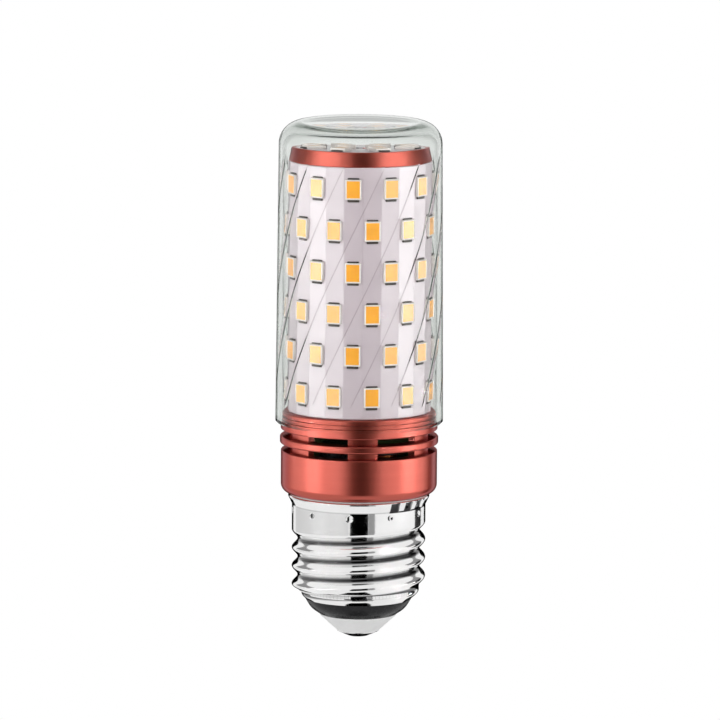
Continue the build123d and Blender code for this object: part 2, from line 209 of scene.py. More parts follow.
def finish(name, tones, roughness, grain, depth, stretch=(1.0, 1.0, 1.0), metallic=0.0):
    """A surface in two near tones, with a roughness and a fine relief that share a grain."""
    material = new_material(name)
    tree = material.node_tree
    inputs = shader_of(material).inputs
    inputs["Metallic"].default_value = metallic
    fine = noise(tree, grain, stretch)
    broad = spread(tree, noise(tree, grain / BROADER, stretch), 0.0, 1.0)
    bump = added(tree, "ShaderNodeBump", Distance=depth, Height=fine)
    tree.links.new(mixed(tree, broad, *tones), inputs["Base Color"])
    tree.links.new(spread(tree, fine, *roughness), inputs["Roughness"])
    tree.links.new(bump.outputs["Normal"], inputs["Normal"])
    return material


def toned(material, mark, levels, tone, smooth=False):
    """Paints shade: takes a material to another tone where a mark on its mesh rises between two
    levels.
    """
    tree = material.node_tree
    base = shader_of(material).inputs["Base Color"]
    source = added(tree, "ShaderNodeAttribute")
    source.attribute_name = mark
    share = ranged(tree, source.outputs["Fac"], *levels, smooth=smooth)
    tree.links.new(mixed(tree, share, base.links[0].from_socket, tone), base)


def dressed(piece, material, slot, *replaced):
    """Gives a finished piece its material and its body, and hides the nodes that it replaces. Its
    slot is not used.
    """
    piece.data.materials.clear()
    piece.data.materials.append(material)
    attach(piece, "root")
    if replaced:
        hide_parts(*replaced)


contact_low, contact_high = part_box("centre_contact")
contact_r = contact_high.x
washer_low, washer_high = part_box("contact_cone")
insulator_low, insulator_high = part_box("cap_insulator")
nickel = finish(
    "polished_nickel",
    ((0.84, 0.84, 0.84), (0.78, 0.778, 0.775)),
    roughness=(0.07, 0.11),
    grain=900.0,
    depth=0.002 * MM,
    metallic=1.0,
)
# Painted shade in the shell's grooves, folds, flutes and dimples.
toned(nickel, SHADE_MARK, SHADE_LEVELS, PAINTED_SHADE_TONE, smooth=True)
contact = turned("contact_rivet", [
    (0.0, contact_low.z, 0.0),
    (CONTACT_FLAT_R, contact_low.z, CONTACT_BEND),
    (contact_r, washer_low.z - CONTACT_LIP, CONTACT_LIP / 2),
    (contact_r, washer_low.z, 0.0),
    (SHANK_R, washer_low.z, 0.0),
    (SHANK_R, insulator_high.z, 0.0),
    (SHANK_HEAD_R, insulator_high.z, 0.0),
    (SHANK_HEAD_R, contact_high.z, SHANK_HEAD_BEND),
    (0.0, contact_high.z, 0.0),
])
dressed(contact, nickel, "nickel", "centre_contact")

# Contact cone: a pale moulded washer that keeps the contact away from the cap. It is matte and a
# little rough from its mould, and it is held between the rivet's head and the upper insulator.
WASHER_EDGE = 0.2 * MM
washer_plastic = finish(
    "pale_moulding",
    ((0.76, 0.76, 0.755), (0.7, 0.7, 0.7)),
    roughness=(0.45, 0.65),
    grain=2500.0,
    depth=0.012 * MM,
)
washer = turned("contact_washer", [
    (SHANK_R, washer_low.z, 0.0),
    (contact_r, washer_low.z, 0.0),
    (washer_high.x, washer_high.z - WASHER_EDGE, WASHER_EDGE),
    (washer_high.x, washer_high.z, 0.0),
    (SHANK_R, washer_high.z, 0.0),
])
dressed(washer, washer_plastic, "pale_insulator", "contact_cone")

# Cap insulator: black glossy resin, moulded into the foot of the screw shell. Its cone runs on from
# the pale washer up to the shell's lower edge.
INSULATOR_SWELL = 0.35 * MM
INSULATOR_BEND = 4.0 * MM
INSULATOR_EDGE = 0.15 * MM
RESIN_GLOSS = 0.12
SHELL_FOOT_R = 10.5 * MM
SHELL_BORE_R = 11.65 * MM
SHELL_BORE_FOOT = 9.15 * MM
SHELL_EDGE = 0.5 * MM
shell_low, shell_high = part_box("cap_shell")
black_resin = finish(
    "black_resin",
    ((0.012, 0.012, 0.013), (0.02, 0.02, 0.021)),
    roughness=(0.16, 0.34),
    grain=1400.0,
    depth=0.01 * MM,
)
shader_of(black_resin).inputs["Specular IOR Level"].default_value = RESIN_GLOSS
insulator = turned("insulator_cone", [
    (SHANK_R, insulator_low.z, 0.0),
    (washer_high.x, insulator_low.z, INSULATOR_EDGE),
    (
        (washer_high.x + SHELL_FOOT_R) / 2 + INSULATOR_SWELL,
        (insulator_low.z + shell_low.z) / 2 - INSULATOR_SWELL,
        INSULATOR_BEND,
    ),
    (SHELL_FOOT_R, shell_low.z, 0.0),
    (SHELL_FOOT_R, shell_low.z + SHELL_EDGE, 0.0),
    (SHELL_BORE_R, SHELL_BORE_FOOT, 0.0),
    (SHELL_BORE_R, insulator_high.z, 0.0),
    (SHANK_R, insulator_high.z, 0.0),
])
dressed(insulator, black_resin, "black_insulator", "cap_insulator")

# Screw shell: thin nickel-plated sheet with a rolled round thread. Above the thread a plain skirt
# is punched with a row of dimples that hold it on the neck, and its flared rim is crimped in three
# places. Painted shade darkens the thread's grooves, a little more to the right, and the rim's
# folds and flutes and the left halves of the dimples.
THREAD_R = 13.1 * MM
THREAD_PITCH = 3.629 * MM
THREAD_DEPTH = 1.15 * MM
GROOVE_TOP = 21.15 * MM
GROOVE_TOP_ANGLE = pi / 2
# Painted shade in the grooves: the share that grows to the right, and the share at the front.
SHADE_TO_RIGHT = (0.06, 0.92)
RUN_OUT_TURNS = 0.4
TAPER_RISE = 2.4 * MM
TAPER_FADE = (0.1, 0.9)
TAPER_BLEND = 0.6 * MM
SKIRT_FOOT = 24.45 * MM
SHELL_COLUMNS = 480
THREAD_ROWS = 110
SKIRT_ROWS = 14
RIM_FOOT = 26.3 * MM
RIM_WIDEST = 27.85 * MM
RIM_EDGE_R = 13.6 * MM
RIM_ROWS = 16
SKIRT_BORE_R = 12.7 * MM
SKIRT_STEP = 24.0 * MM
DIMPLE_COUNT = 10
DIMPLES = [radians(-8.0) + 2 * pi * k / DIMPLE_COUNT for k in range(DIMPLE_COUNT)]
DIMPLE_Z = 25.2 * MM
DIMPLE_R = 0.58 * MM
DIMPLE_DEPTH = 0.3 * MM
DIMPLE_ROUND = 0.7
# Painted shade in the left half of a dimple: where it starts and how dark it is.
DIMPLE_EDGE = 0.15
DIMPLE_SHADE = 0.95
FLUTE_ANGLES = [radians(a) for a in (32.4, 46.3, 60.0)]
FLUTE_HALF = radians(5.0)
FLUTE_LEAN = 0.35
FLUTE_BEND = 27.2 * MM
FLUTE_TOP = 28.1 * MM
# How much the painted shade in a flute fades towards its right.
FLUTE_SHADE_FADE = 0.26
# Painted shade in the fold under the rim: half height, darker by the flutes, lighter elsewhere.
FOLD_HALF = 0.22 * MM
FOLD_SHADE = 0.95
FOLD_SHADE_END = radians(80.0)
FOLD_SHADE_LIGHT = 0.72


def new_tree(name, inputs):
    """An empty tree with a geometry going in and out and the named inputs."""
    tree = bpy.data.node_groups.new(name, "GeometryNodeTree")
    for label, (kind, value) in {"Geometry": ("Geometry", None), **inputs}.items():
        socket = tree.interface.new_socket(label, in_out="INPUT", socket_type="NodeSocket" + kind)
        if value is not None:
            socket.default_value = value
    tree.interface.new_socket("Geometry", in_out="OUTPUT", socket_type="NodeSocketGeometry")
    return tree, tree.nodes.new("NodeGroupInput").outputs


def reckon(tree, operation, *values):
    """A math node on sockets and numbers."""
    node = tree.nodes.new("ShaderNodeMath")
    node.operation = operation
    for socket, value in zip(node.inputs, values):
        if isinstance(value, bpy.types.NodeSocket):
            tree.links.new(value, socket)
        else:
            socket.default_value = value
    return node.outputs[0]


def ended(tree, geometry, material):
    """Realizes what a tree has made, gives it its material and hands it out."""
    real = added(tree, "GeometryNodeRealizeInstances", Geometry=geometry)
    coated = added(tree, "GeometryNodeSetMaterial", Geometry=real.outputs[0], Material=material)
    out = tree.nodes.new("NodeGroupOutput")
    tree.links.new(coated.outputs[0], out.inputs["Geometry"])


def plain_mesh(piece):
    """The mesh of an object with its modifiers worked in."""
    bpy.context.view_layer.update()
    graph = bpy.context.evaluated_depsgraph_get()
    return bpy.data.meshes.new_from_object(piece.evaluated_get(graph))


def mesh_of(tree, start, values):
    """The plain mesh that a tree makes from a starting mesh and its input values."""
    maker = placed("maker", start)
    modifier = maker.modifiers.new("tree", "NODES")
    modifier.node_group = tree
    for item in tree.interface.items_tree:
        if item.in_out == "INPUT" and item.name in values:
            modifier[item.identifier] = values[item.name]
    mesh = plain_mesh(maker)
    bpy.data.objects.remove(maker)
    return mesh


def thread_tree():
    """A grid rolled up into a round thread that runs out at its top and fades into its foot."""
    tree, given = new_tree("rolled_thread", {
        "Radius": ("Float", THREAD_R),
        "Depth": ("Float", THREAD_DEPTH),
        "Pitch": ("Float", THREAD_PITCH),
        "Groove Top": ("Float", GROOVE_TOP),
        "Top Angle": ("Float", GROOVE_TOP_ANGLE),
        "Run Out": ("Float", RUN_OUT_TURNS),
        "Foot": ("Float", shell_low.z),
        "Foot Radius": ("Float", SHELL_FOOT_R),
        "Taper Rise": ("Float", TAPER_RISE),
        "Top": ("Float", SKIRT_FOOT),
        "Columns": ("Int", SHELL_COLUMNS),
        "Rows": ("Int", THREAD_ROWS),
        "Finish": ("Material", None),
    })
    work = partial(reckon, tree)
    middle = work("MULTIPLY", work("ADD", given["Top"], given["Foot"]), 0.5)
    sheet = added(
        tree,
        "GeometryNodeMeshGrid",
        Size_X=2 * pi,
        Size_Y=work("SUBTRACT", given["Top"], given["Foot"]),
        Vertices_X=work("ADD", given["Columns"], 1.0),
        Vertices_Y=given["Rows"],
    )
    position = added(tree, "GeometryNodeInputPosition").outputs[0]
    place = added(tree, "ShaderNodeSeparateXYZ", Vector=position).outputs
    angle = place["X"]
    height = work("ADD", place["Y"], middle)
    turn = work("DIVIDE", work("SUBTRACT", angle, given["Top Angle"]), 2 * pi)
    past_top = work("FRACT", turn)
    above = work("DIVIDE", work("SUBTRACT", height, given["Groove Top"]), given["Pitch"])
    phase = work("SUBTRACT", above, past_top)
    groove = work("MULTIPLY_ADD", work("COSINE", work("MULTIPLY", phase, 2 * pi)), 0.5, 0.5)
    whole = work("LESS_THAN", phase, -0.5)
    last = work("SUBTRACT", work("LESS_THAN", phase, 0.5), whole)
    fading = work("SUBTRACT", 1.0, work("DIVIDE", past_top, given["Run Out"]))
    share = work("MULTIPLY_ADD", last, work("MAXIMUM", fading, 0.0), whole)
    sunk = work("MULTIPLY", groove, share)
    up_taper = work("DIVIDE", work("SUBTRACT", height, given["Foot"]), given["Taper Rise"])
    spare = work("SUBTRACT", given["Radius"], given["Foot Radius"])
    tapered = work("MULTIPLY_ADD", up_taper, spare, given["Foot Radius"])
    plain = work("SMOOTH_MIN", tapered, given["Radius"], TAPER_BLEND)
    fade = ranged(tree, up_taper, *TAPER_FADE, smooth=True)
    cut = work("MULTIPLY", work("MULTIPLY", sunk, given["Depth"]), fade)
    radius = work("SUBTRACT", plain, cut)
    aside = work("SINE", angle)
    across = work("MULTIPLY", radius, aside)
    along = work("MULTIPLY", work("MULTIPLY", radius, work("COSINE", angle)), -1.0)
    point = added(tree, "ShaderNodeCombineXYZ", X=across, Y=along, Z=height).outputs[0]
    # The mark of painted shade: as deep as the groove, and a little deeper to the right.
    shade_marked = added(
        tree,
        "GeometryNodeStoreNamedAttribute",
        Geometry=sheet.outputs[0],
        Name=SHADE_MARK,
        Value=work("MULTIPLY", sunk, work("MULTIPLY_ADD", aside, *SHADE_TO_RIGHT)),
    ).outputs[0]
    rolled = added(tree, "GeometryNodeSetPosition", Geometry=shade_marked, Position=point)
    ended(tree, rolled.outputs[0], given["Finish"])
    return tree


def nearest(angle, centres):
    """The way from the nearest of some places round the shell, positive to the right."""
    return min(((angle - centre + pi) % (2 * pi) - pi for centre in centres), key=abs)


def dimple(angle, height):
    """How deep a dimple is at a point of the skirt, as a share of its middle."""
    across = nearest(angle, DIMPLES) * THREAD_R
    way = (across ** 2 + (height - DIMPLE_Z) ** 2) / DIMPLE_R ** 2
    return max(1.0 - way, 0.0) ** DIMPLE_ROUND


def flute(angle, height):
    """How deep a flute is at a point of the rim, as a share of its deepest line at the right."""
    across = nearest(angle, FLUTE_ANGLES) / FLUTE_HALF
    arch = max(height - FLUTE_BEND, 0.0) / (FLUTE_TOP - FLUTE_BEND)
    if abs(across) >= 1.0 or arch >= 1.0 or height < RIM_FOOT:
        return 0.0
    if across < FLUTE_LEAN:
        share = (across + 1.0) / (FLUTE_LEAN + 1.0)
    else:
        share = (1.0 - ((across - FLUTE_LEAN) / (1.0 - FLUTE_LEAN)) ** 2) ** 0.5
    return share * (1.0 - arch ** 2) ** 0.5


def rim(angle, height):
    """The radius of the flared rim, with its flutes."""
    up = (height - RIM_FOOT) / (RIM_WIDEST - RIM_FOOT)
    over = max(height - RIM_WIDEST, 0.0) / (shell_high.z - RIM_WIDEST)
    flare = THREAD_R + (shell_high.x - THREAD_R) * min(up, 1.0)
    flare -= (shell_high.x - RIM_EDGE_R) * (1.0 - (1.0 - over ** 2) ** 0.5)
    return flare - (flare - THREAD_R) * flute(angle, height)


def skirt_rows():
    """Rows of points up the skirt and round the rim, then down the bore to the shell's foot."""
    angles = [-pi + 2 * pi * k / SHELL_COLUMNS for k in range(SHELL_COLUMNS)]
    rows = []
    for i in range(SKIRT_ROWS + 1):
        z = SKIRT_FOOT + (RIM_FOOT - SKIRT_FOOT) * i / SKIRT_ROWS
        rows.append([on_circle(THREAD_R - DIMPLE_DEPTH * dimple(a, z), a, z) for a in angles])
    for i in range(RIM_ROWS + 1):
        z = RIM_FOOT + (shell_high.z - RIM_FOOT) * i / RIM_ROWS
        rows.append([on_circle(rim(a, z), a, z) for a in angles])
    inside = [
        (RIM_EDGE_R, shell_high.z),
        (SKIRT_BORE_R, shell_high.z),
        (SKIRT_BORE_R, SKIRT_STEP),
        (SHELL_BORE_R, SKIRT_STEP),
        (SHELL_BORE_R, SHELL_BORE_FOOT),
        (SHELL_FOOT_R, shell_low.z + SHELL_EDGE),
        (SHELL_FOOT_R, shell_low.z),
    ]
    return rows + [[on_circle(r, a, z) for a in angles] for r, z in inside]


def painted_shade(point):
    """How much painted shade darkens the folds of the skirt and the rim, as in the thread's
    grooves.
    """
    angle = atan2(point.x, -point.y)
    if flute(angle, point.z) > 0.0:
        across = nearest(angle, FLUTE_ANGLES) / FLUTE_HALF
        return 1.0 - FLUTE_SHADE_FADE * max(across - FLUTE_LEAN, 0.0) / (1.0 - FLUTE_LEAN)
    if abs(point.z - RIM_FOOT) < FOLD_HALF:
        fluted = FLUTE_ANGLES[0] - FLUTE_HALF < angle < FOLD_SHADE_END
        return FOLD_SHADE if fluted else FOLD_SHADE_LIGHT
    if dimple(angle, point.z) > DIMPLE_EDGE and nearest(angle, DIMPLES) < 0.0:
        return DIMPLE_SHADE
    return 0.0


thread_mesh = mesh_of(thread_tree(), bpy.data.meshes.new("start"), {"Finish": nickel})


def fill_shell(grid):
    """The rolled thread with the skirt, the rim and the bore joined to it."""
    grid.from_mesh(thread_mesh)
    loft(grid, skirt_rows(), closed=False)
    # Painted shade on the skirt and the rim.
    mark = grid.verts.layers.float[SHADE_MARK]
    for vert in grid.verts:
        if vert.co.z > SKIRT_FOOT:
            vert[mark] = painted_shade(vert.co)


dressed(piece_from("screw_shell", fill_shell), nickel, "nickel", "cap_shell")

# Insulating neck: a pale moulded bush that the shell is crimped on. Its upper half is pressed into
# the collar, and a thin flange of it keeps the collar clear of the shell's rim.
neck_plastic = finish(
    "neck_moulding",
    ((0.7, 0.7, 0.68), (0.62, 0.62, 0.6)),
    roughness=(0.4, 0.6),
    grain=1500.0,
    depth=0.01 * MM,
)


def recoated(material, *names):
    """Gives parts of the frame a finish of their own."""
    for name in names:
        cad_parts[name].material_slots[0].material = material


recoated(neck_plastic, "insulating_neck")

# Driver: a green circuit board slid into the neck on edge, with its fuse, rectifier, capacitor,
# choke and chip soldered on. Bits of it show through the vents of the collar.
SLEEVE_GLOSS = {"roughness": (0.3, 0.5), "grain": 1500.0, "depth": 0.01 * MM}
board_green = finish(
    "driver_board_lacquer",
    ((0.05, 0.11, 0.035), (0.1, 0.15, 0.04)),
    roughness=(0.25, 0.45),
    grain=1800.0,
    depth=0.01 * MM,
)
capacitor_black = finish(
    "black_capacitor_sleeve",
    ((0.015, 0.016, 0.02), (0.03, 0.03, 0.035)),
    roughness=(0.2, 0.4),
    grain=1200.0,
    depth=0.01 * MM,
)
ferrite = finish(
    "grey_ferrite",
    ((0.05, 0.05, 0.05), (0.08, 0.078, 0.075)),
    roughness=(0.5, 0.8),
    grain=3000.0,
    depth=0.03 * MM,
)
enamelled_copper = finish(
    "enamelled_copper",
    ((0.62, 0.22, 0.08), (0.45, 0.13, 0.05)),
    roughness=(0.2, 0.4),
    grain=300.0,
    depth=0.05 * MM,
    stretch=(1.0, 1.0, 14.0),
    metallic=1.0,
)
fuse_lacquer = finish(
    "fuse_lacquer",
    ((0.16, 0.28, 0.17), (0.2, 0.33, 0.2)),
    roughness=(0.4, 0.6),
    grain=1500.0,
    depth=0.02 * MM,
)
chip_resin = finish(
    "chip_resin",
    ((0.018, 0.018, 0.02), (0.03, 0.03, 0.032)),
    roughness=(0.45, 0.65),
    grain=4000.0,
    depth=0.01 * MM,
)
white_tones = ((0.8, 0.8, 0.78), (0.7, 0.7, 0.68))
black_tones = ((0.02, 0.02, 0.02), (0.035, 0.035, 0.035))
red_tones = ((0.5, 0.02, 0.015), (0.38, 0.015, 0.012))
recoated(board_green, "driver_board")
recoated(capacitor_black, "filter_capacitor")
recoated(ferrite, "choke_core")
recoated(enamelled_copper, "choke_winding")
recoated(fuse_lacquer, "fuse_resistor")
recoated(chip_resin, "bridge_rectifier", "driver_chip")
recoated(finish("white_wire_sleeve", white_tones, **SLEEVE_GLOSS), "live_wire")
black_sleeve = finish("black_wire_sleeve", black_tones, **SLEEVE_GLOSS)
recoated(black_sleeve, "neutral_wire", "black_feed_wires")
recoated(finish("red_wire_sleeve", red_tones, **SLEEVE_GLOSS), "red_feed_wires")

# Vented collar: aluminium turned to a plain body, a thin fin and a flange with a grooved spigot for
# the cover, then anodised rose gold. Two rows of posts stand between them, and the gaps let the
# heat out.
COLLAR_R = 15.3 * MM
COLLAR_BORE_R = 12.4 * MM
COLLAR_CORNER = 1.7 * MM
INNER_EDGE = 0.1 * MM
OUTER_EDGE = 0.2 * MM
NECK_PLUG_R = 12.9 * MM
NECK_TOP = 34.0 * MM
BODY_TOP = 37.0 * MM
FIN_BOTTOM = 38.35 * MM
FIN_TOP = 39.8 * MM
FIN_EDGE = 0.3 * MM
FLANGE_BOTTOM = 41.15 * MM
FLANGE_R = 15.35 * MM
SPIGOT_R = 15.05 * MM
SPIGOT_TOP = 44.9 * MM
SPIGOT_EDGE = 0.3 * MM
LIP_R = 13.0 * MM
LIP_BORE_R = 12.1 * MM
SNAP_LINES = (43.2 * MM, 44.05 * MM)
SNAP_DEPTH = 0.35 * MM
SNAP_HALF = 0.2 * MM
SNAP_EDGE = 0.06 * MM
SNAP_FLOOR_EDGE = 0.04 * MM
POST_R = 13.9 * MM
POST_COUNT = 6
POST_ROWS = 2
POST_SPAN = radians(24.0)
POST_FIRST = radians(3.0)
POST_COLUMNS = 16
POST_SINK = 0.05 * MM
ROSE_GLARE = (0.6, 0.14, 0.1)
collar_low, collar_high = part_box("vent_collar")
cover_low, cover_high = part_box("clear_cover")


def sealed(material, roughness, ior, share=1.0):
    """Gives a finish a clear coat."""
    inputs = shader_of(material).inputs
    inputs["Coat Weight"].default_value = share
    inputs["Coat Roughness"].default_value = roughness
    inputs["Coat IOR"].default_value = ior


rose_gold = finish(
    "rose_gold_anodise",
    ((0.45, 0.072, 0.046), (0.42, 0.066, 0.042)),
    roughness=(0.28, 0.34),
    grain=9000.0,
    depth=0.0012 * MM,
    stretch=(0.06, 0.06, 1.0),
    metallic=1.0,
)
shader_of(rose_gold).inputs["Specular Tint"].default_value = (*ROSE_GLARE, 1.0)
sealed(rose_gold, roughness=0.24, ior=1.6, share=0.6)
spigot = []
for line in SNAP_LINES:
    spigot += [
        (SPIGOT_R, line - SNAP_HALF, SNAP_EDGE),
        (SPIGOT_R - SNAP_DEPTH, line - SNAP_HALF, SNAP_FLOOR_EDGE),
        (SPIGOT_R - SNAP_DEPTH, line + SNAP_HALF, SNAP_FLOOR_EDGE),
        (SPIGOT_R, line + SNAP_HALF, SNAP_EDGE),
    ]
collar = turned(
    "collar_body",
    [
        (NECK_PLUG_R, collar_low.z, INNER_EDGE),
        (COLLAR_R, collar_low.z, COLLAR_CORNER),
        (COLLAR_R, BODY_TOP, OUTER_EDGE),
        (COLLAR_BORE_R, BODY_TOP, INNER_EDGE),
        (COLLAR_BORE_R, NECK_TOP, 0.0),
        (NECK_PLUG_R, NECK_TOP, 0.0),
    ],
    [
        (COLLAR_BORE_R, FIN_BOTTOM, INNER_EDGE),
        (collar_high.x, FIN_BOTTOM, FIN_EDGE),
        (collar_high.x, FIN_TOP, FIN_EDGE),
        (COLLAR_BORE_R, FIN_TOP, INNER_EDGE),
    ],
    [
        (COLLAR_BORE_R, FLANGE_BOTTOM, INNER_EDGE),
        (FLANGE_R, FLANGE_BOTTOM, OUTER_EDGE),
        (FLANGE_R, cover_low.z, INNER_EDGE),
        (SPIGOT_R, cover_low.z, 0.0),
        *spigot,
        (SPIGOT_R, SPIGOT_TOP, SPIGOT_EDGE),
        (LIP_R, SPIGOT_TOP, 0.0),
        (LIP_R, collar_high.z, INNER_EDGE),
        (LIP_BORE_R, collar_high.z, INNER_EDGE),
        (LIP_BORE_R, cover_low.z, 0.0),
        (COLLAR_BORE_R, cover_low.z, 0.0),
    ],
)
dressed(collar, rose_gold, "rose_gold", "vent_collar")


def around_tree():
    """Rows of copies of a mesh round the axis, with every second row turned a little further."""
    tree, given = new_tree("around_the_axis", {
        "Count": ("Int", 1),
        "Rows": ("Int", 1),
        "First Angle": ("Float", 0.0),
        "Row Rise": ("Float", 0.0),
        "Row Turn": ("Float", 0.0),
        "Finish": ("Material", None),
    })
    work = partial(reckon, tree)
    index = added(tree, "GeometryNodeInputIndex").outputs[0]
    row = work("FLOOR", work("DIVIDE", work("ADD", index, 0.5), given["Count"]))
    column = work("SUBTRACT", index, work("MULTIPLY", row, given["Count"]))
    step = work("DIVIDE", 2 * pi, given["Count"])
    shift = work("MULTIPLY", work("MODULO", row, 2.0), given["Row Turn"])
    angle = work("ADD", work("MULTIPLY_ADD", column, step, given["First Angle"]), shift)
    place = added(tree, "ShaderNodeCombineXYZ", Z=work("MULTIPLY", row, given["Row Rise"]))
    turn = added(tree, "FunctionNodeEulerToRotation")
    tree.links.new(added(tree, "ShaderNodeCombineXYZ", Z=angle).outputs[0], turn.inputs[0])
    total = work("MULTIPLY", given["Count"], given["Rows"])
    points = added(tree, "GeometryNodePoints", Count=total, Position=place.outputs[0])
    copies = added(
        tree,
        "GeometryNodeInstanceOnPoints",
        Points=points.outputs[0],
        Instance=given["Geometry"],
        Rotation=turn.outputs[0],
    )
    ended(tree, copies.outputs[0], given["Finish"])
    return tree


around = around_tree()


def repeated(name, one, material, **values):
    """A piece made of copies of one object's mesh round the axis. The one object is used up."""
    labels = {label.replace("_", " ").title(): value for label, value in values.items()}
    mesh = mesh_of(around, one.data, {"Finish": material, **labels})
    bpy.data.objects.remove(one)
    mesh.name = name
    return placed(name, mesh)


def fill_post(grid):
    """One post: a slice of a ring, a little longer than the gap that it stands in."""
    foot, head = BODY_TOP - POST_SINK, FIN_BOTTOM + POST_SINK
    outline = [(COLLAR_BORE_R, foot), (POST_R, foot), (POST_R, head), (COLLAR_BORE_R, head)]
    angles = [POST_SPAN * (k / POST_COLUMNS - 0.5) for k in range(POST_COLUMNS + 1)]
    loops = loft(grid, [[on_circle(r, a, z) for r, z in outline] for a in angles], closed=False)
    grid.faces.new(loops[0])
    grid.faces.new(loops[-1])


posts = repeated(
    "collar_posts",
    piece_from("post", fill_post),
    rose_gold,
    count=POST_COUNT,
    rows=POST_ROWS,
    first_angle=POST_FIRST,
    row_rise=FIN_TOP - BODY_TOP,
)
dressed(posts, rose_gold, "rose_gold")

# Board tube: a white lacquered circuit board, scored and folded into a tube of flats, one for each
# column of LEDs. It stands on the collar round a low lip, and its two ends leave a narrow seam.
BOARD_FLATS = 24
BOARD_APOTHEM = 13.95 * MM
BOARD_T = 0.9 * MM
SEAM_ANGLE = radians(77.1)
SEAM_HALF = 0.2 * MM
FOLD_BEND = 0.18 * MM
FOLD_LIMIT = radians(8)
EDGE_SEGMENTS = 2
FLAT_AREA = 5.0 * MM**2
LACQUER = {"roughness": 0.25, "ior": 2.0}
board_low, board_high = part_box("side_board")
board_white = finish(
    "white_solder_mask",
    ((0.59, 0.5, 0.545), (0.55, 0.465, 0.51)),
    roughness=(0.3, 0.4),
    grain=1600.0,
    depth=0.0006 * MM,
)
sealed(board_white, **LACQUER)


def fill_board(grid):
    """The folded strip, with its corners at every fold from one side of the seam to the other."""
    fold = 2 * pi / BOARD_FLATS
    corners = []
    for depth, order in ((0.0, 1), (BOARD_T, -1)):
        radius = (BOARD_APOTHEM - depth) / cos(fold / 2)
        gap = SEAM_HALF / radius
        angles = [SEAM_ANGLE + gap]
        angles += [SEAM_ANGLE + fold * k for k in range(1, BOARD_FLATS)]
        angles += [SEAM_ANGLE + 2 * pi - gap]
        corners += [(radius, angle) for angle in angles[::order]]
    levels = (board_low.z, board_high.z)
    ends = loft(grid, [[on_circle(r, a, z) for r, a in corners] for z in levels], closed=False)
    for k in range(len(corners) // 2 - 1):
        far = len(corners) - 1 - k
        for end in ends:
            grid.faces.new((end[k], end[k + 1], end[far - 1], end[far]))


def bevelled(piece, width):
    """Rounds off a piece's edges."""
    modifier = piece.modifiers.new("edges", "BEVEL")
    modifier.width = width
    modifier.segments = EDGE_SEGMENTS
    modifier.angle_limit = FOLD_LIMIT
    mesh = plain_mesh(piece)
    piece.modifiers.clear()
    piece.data = mesh
    return piece


def flat_faced(piece, area):
    """Shades a piece's faces that are larger than an area flat, and leaves its bends smooth."""
    for face in piece.data.polygons:
        face.use_smooth = face.area < area
    return piece


board = flat_faced(bevelled(piece_from("board_tube", fill_board), FOLD_BEND), FLAT_AREA)
dressed(board, board_white, "white_board", "side_board")

# LEDs: white moulded packages with a window of yellow phosphor, six rows of twelve on the board
# tube. Every second row is turned by half a step, and each package has a lead soldered above and
# below it.
LED_W = 3.1 * MM
LED_H = 3.9 * MM
LED_T = 0.65 * MM
LED_BORDER = 0.28 * MM
LED_EDGE = 0.12 * MM
LED_FLAT_AREA = 0.35 * MM**2
WINDOW_SINK = 0.08 * MM
WINDOW_PROUD = 0.02 * MM
WINDOW_T = 0.1 * MM
WINDOW_EDGE = 0.05 * MM
LEAD_W = 2.25 * MM
LEAD_T = 0.3 * MM
LEAD_EDGE = 0.1 * MM
UPPER_LEAD_H = 0.3 * MM
LOWER_LEAD_H = 0.5 * MM
LEDS_PER_ROW = 12
LED_ROWS = 6
ROW_PITCH = 8.12 * MM
TOP_ROW_Z = 89.9 * MM
LED_FIRST = radians(-5.4)
led_white = finish(
    "led_package_white",
    ((0.8, 0.74, 0.7), (0.76, 0.7, 0.66)),
    roughness=(0.3, 0.4),
    grain=2500.0,
    depth=0.001 * MM,
)
phosphor = finish(
    "yellow_phosphor",
    ((1.0, 0.43, 0.008), (0.96, 0.375, 0.006)),
    roughness=(0.3, 0.4),
    grain=5000.0,
    depth=0.001 * MM,
)
for moulding in (led_white, phosphor):
    sealed(moulding, **LACQUER)
# The leads are painted dark: painted shade for the shade and dark reflections on their silver
# solder.
shaded_solder = finish(
    "painted_shade_solder",
    ((0.07, 0.055, 0.045), (0.035, 0.028, 0.024)),
    roughness=(0.3, 0.5),
    grain=3000.0,
    depth=0.02 * MM,
)


def block(grid, width, front, back, bottom, top):
    """A plain block that stands evenly to both sides of the front's middle."""
    low, high = Vector((-width / 2, front, bottom)), Vector((width / 2, back, top))
    made = bmesh.ops.create_cube(grid, size=1.0)["verts"]
    bmesh.ops.scale(grid, vec=high - low, verts=made)
    bmesh.ops.translate(grid, vec=(low + high) / 2, verts=made)


def eased(grid, offset):
    """Rounds off all the edges of a mesh in the making."""
    edges = grid.edges[:]
    shape = {"segments": EDGE_SEGMENTS, "profile": 0.5, "affect": "EDGES"}
    bmesh.ops.bevel(grid, geom=edges, offset=offset, **shape)


